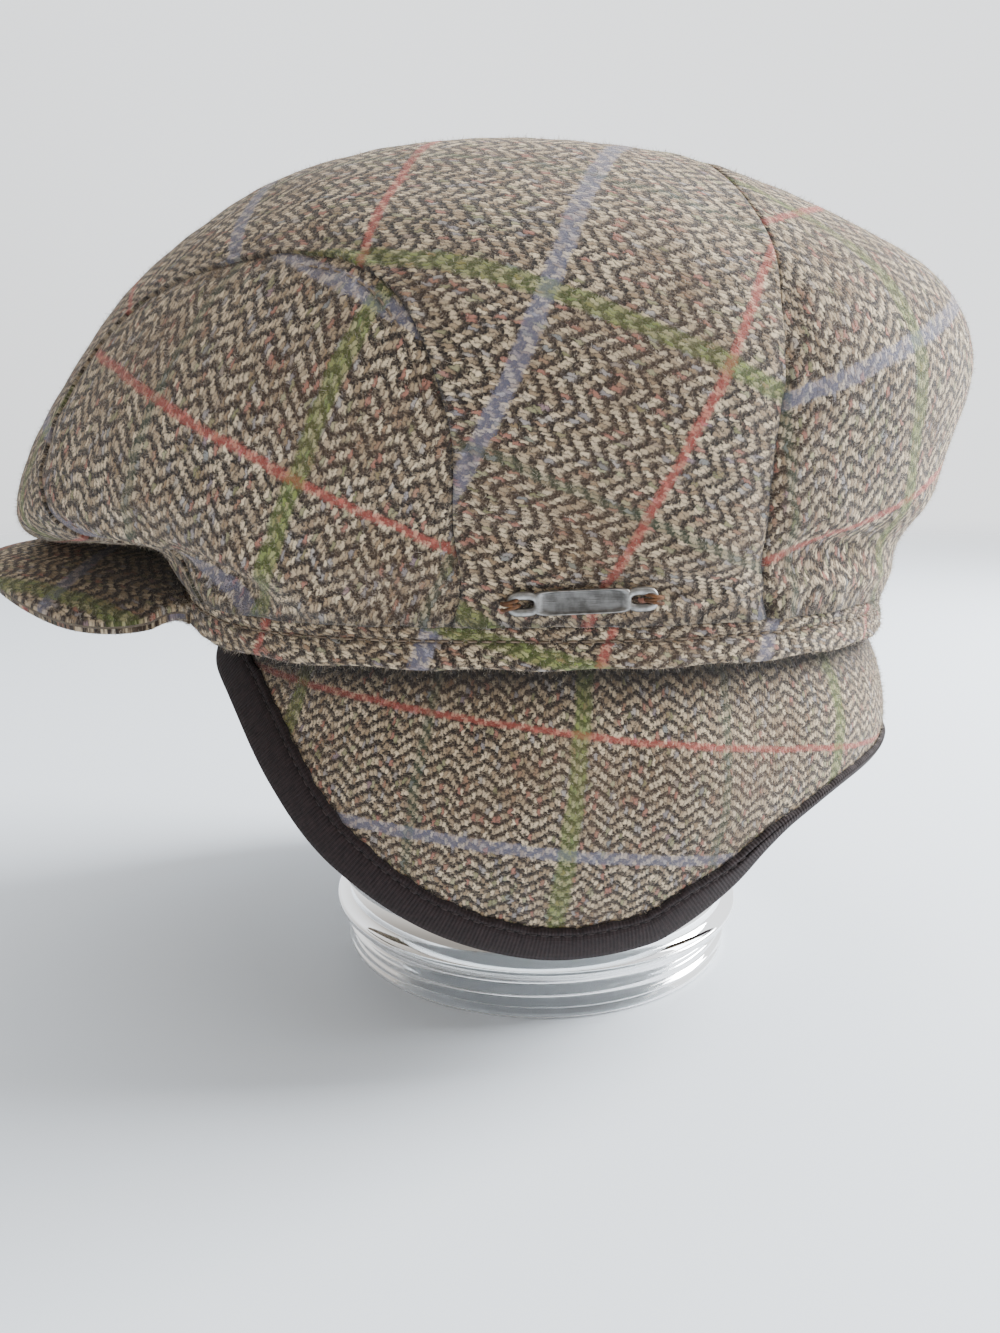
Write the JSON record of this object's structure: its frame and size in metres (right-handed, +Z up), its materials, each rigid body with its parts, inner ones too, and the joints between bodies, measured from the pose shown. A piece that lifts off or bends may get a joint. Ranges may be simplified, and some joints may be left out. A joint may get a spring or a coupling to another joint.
{
  "type": "flat cap with earflaps on a clear jar stand",
  "caption": "Soft wool flat cap with a wide crown over the peak, a stitched band and a wrap-around bound ear and neck flap, held on an upturned clear jar.",
  "frame": {"origin": "on the table under the middle of the whole part's box", "axes": "-X is the way the peak points, +Z is up, -Y is the wearer's left side with the badge"},
  "size_m": [0.2978, 0.1986, 0.2412],
  "materials": {
    "cloth": "brushed wool herringbone with a windowpane check",
    "binding": "ribbed grosgrain ribbon",
    "badge": "dull pewter",
    "jar": "clear moulded plastic"
  },
  "bodies": {
    "root": {"top_panel": "cloth", "front_side_panel_left": "cloth", "front_side_panel_right": "cloth", "back_panel": "cloth", "band": "cloth", "peak": "cloth", "ear_flap": "cloth", "flap_binding": "binding", "badge": "badge", "stand": "jar"}
  },
  "joints": []
}
